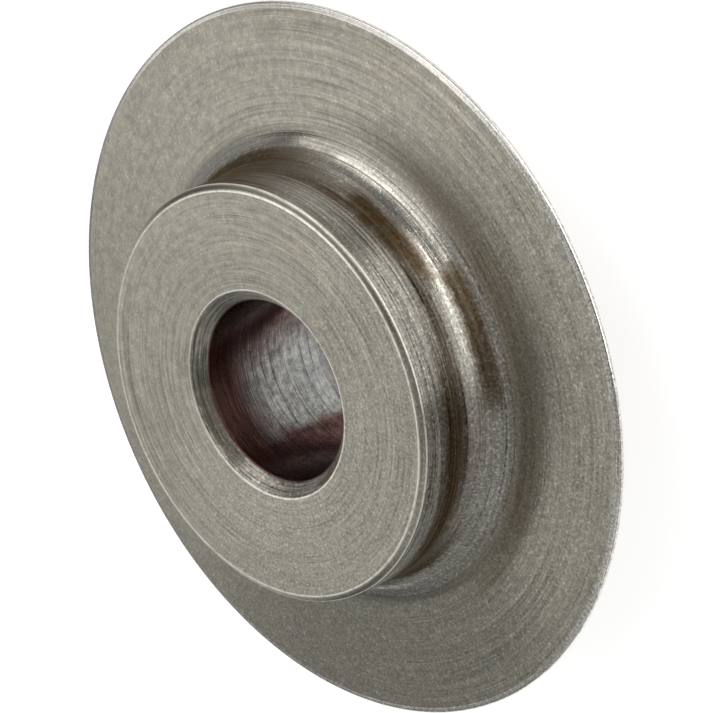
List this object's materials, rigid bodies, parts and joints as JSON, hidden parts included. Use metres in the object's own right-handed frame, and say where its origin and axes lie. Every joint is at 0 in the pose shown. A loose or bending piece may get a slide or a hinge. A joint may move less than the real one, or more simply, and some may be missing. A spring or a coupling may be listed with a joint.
{
  "type": "pipe cutter wheel",
  "caption": "Hardened steel cutting wheel with a thin tapered blade, a wide round hub and a plain bore that turns on the pin of a pipe cutter.",
  "frame": {"origin": "centre of the bore, on the cutting plane, which is also the centre of the whole wheel", "axes": "+Z along the bore axis, X and Y in the cutting plane"},
  "size_m": [0.0318, 0.0318, 0.01],
  "materials": {
    "tool_steel": "satin, fine turned and tumbled tool steel"
  },
  "bodies": {
    "root": {"cutter_wheel": "tool_steel"}
  },
  "joints": []
}
